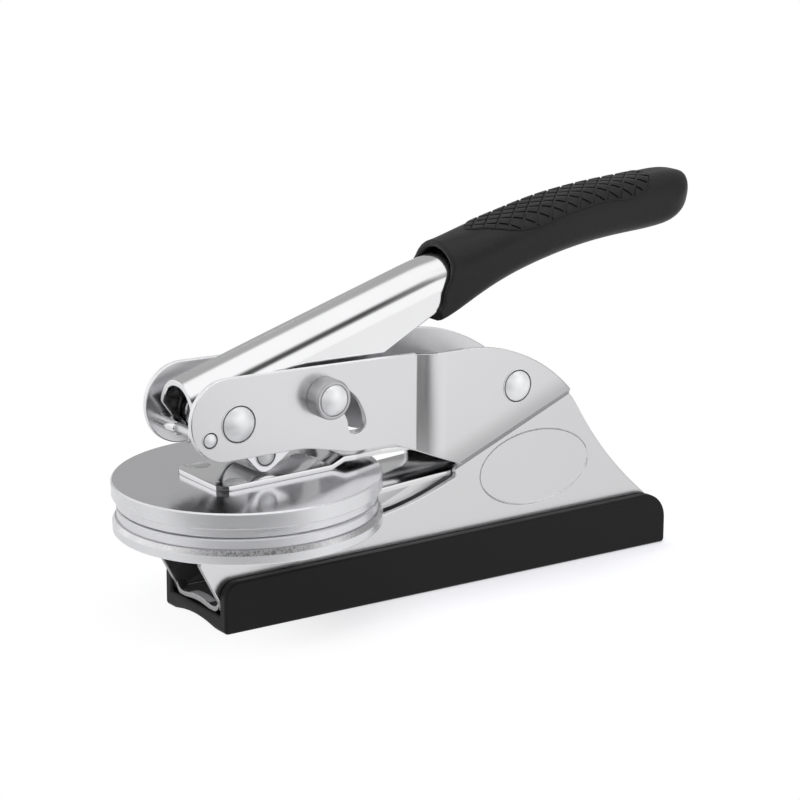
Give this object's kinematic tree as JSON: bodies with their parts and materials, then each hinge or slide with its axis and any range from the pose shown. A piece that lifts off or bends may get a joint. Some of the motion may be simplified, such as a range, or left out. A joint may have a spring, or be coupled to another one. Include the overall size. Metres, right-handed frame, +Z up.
{
  "type": "seal embosser",
  "caption": "Hand-held seal press: folded steel frame in a black shoe, round embossing dies on spring leaves, and a sprung lever with a moulded grip.",
  "frame": {"origin": "centre of the shoe's underside, on the surface the tool stands on", "axes": "+X from the dies to the grip, +Y across the tool, +Z up"},
  "size_m": [0.1292, 0.051, 0.0755],
  "materials": {
    "shoe": "fine matte grain",
    "grip_plastic": "fine matte grain with a pressed pattern",
    "frame_steel": "satin nickel-plated steel",
    "rivets": "polished",
    "plain_steel": "turned steel",
    "leaf_steel": "polished spring steel",
    "spring_wire": "drawn wire",
    "lever_chrome": "bright chrome plate",
    "disc_metal": "satin turned",
    "knob_metal": "satin nickel plate"
  },
  "bodies": {
    "frame": {"base_shoe": "shoe", "body_frame": "frame_steel", "pivot_rivet": "rivets", "front_cross_rod": "rivets", "rear_rivet": "rivets", "rear_spacer": "plain_steel", "hairpin_bend": "leaf_steel", "return_spring": "spring_wire"},
    "handle": {"lever": "lever_chrome", "grip": "grip_plastic", "pivot_bush": "plain_steel", "roller_pin": "rivets", "spring_arm": "spring_wire"},
    "roller": {"press_roller": "plain_steel"},
    "upper_arm": {"upper_leaf": "leaf_steel", "upper_die_holder": "disc_metal", "upper_die": "disc_metal", "upper_leaf_rivets": "leaf_steel"},
    "lower_arm": {"lower_leaf": "leaf_steel", "lower_die_holder": "disc_metal", "lower_die": "disc_metal", "lower_leaf_rivets": "leaf_steel"},
    "slide": {"slide_pin": "plain_steel", "slide_knobs": "knob_metal"}
  },
  "joints": [
    {"name": "handle_pivot", "type": "hinge", "parent": "frame", "child": "handle", "pos_m": [-0.0479, 0, 0.0394], "axis": [0, 1, 0], "range_deg": [0, 16.5], "stiffness_Nm_per_rad": 0.4, "springref_deg": -20.05},
    {"name": "roller_spin", "type": "hinge", "parent": "handle", "child": "roller", "pos_m": [-0.0405, 0, 0.0317], "axis": [0, 1, 0], "continuous": true},
    {"name": "upper_arm_flex", "type": "hinge", "parent": "frame", "child": "upper_arm", "pos_m": [0.015, 0, 0.02815], "axis": [0, 1, 0], "range_deg": [-1.72, 0]},
    {"name": "lower_arm_flex", "type": "hinge", "parent": "frame", "child": "lower_arm", "pos_m": [0.015, 0, 0.02305], "axis": [0, 1, 0], "range_deg": [-1.5, 0]},
    {"name": "slide_swing", "type": "hinge", "parent": "frame", "child": "slide", "pos_m": [-0.0288, 0, 0.0352], "axis": [0, 1, 0], "range_deg": [0, 94]}
  ],
  "couplings": [
    {"joint": "upper_arm_flex", "follows": "handle_pivot", "ratio": -0.10424},
    {"joint": "lower_arm_flex", "follows": "handle_pivot", "ratio": -0.0909},
    {"joint": "slide_swing", "follows": "handle_pivot", "ratio": 5.5757}
  ]
}
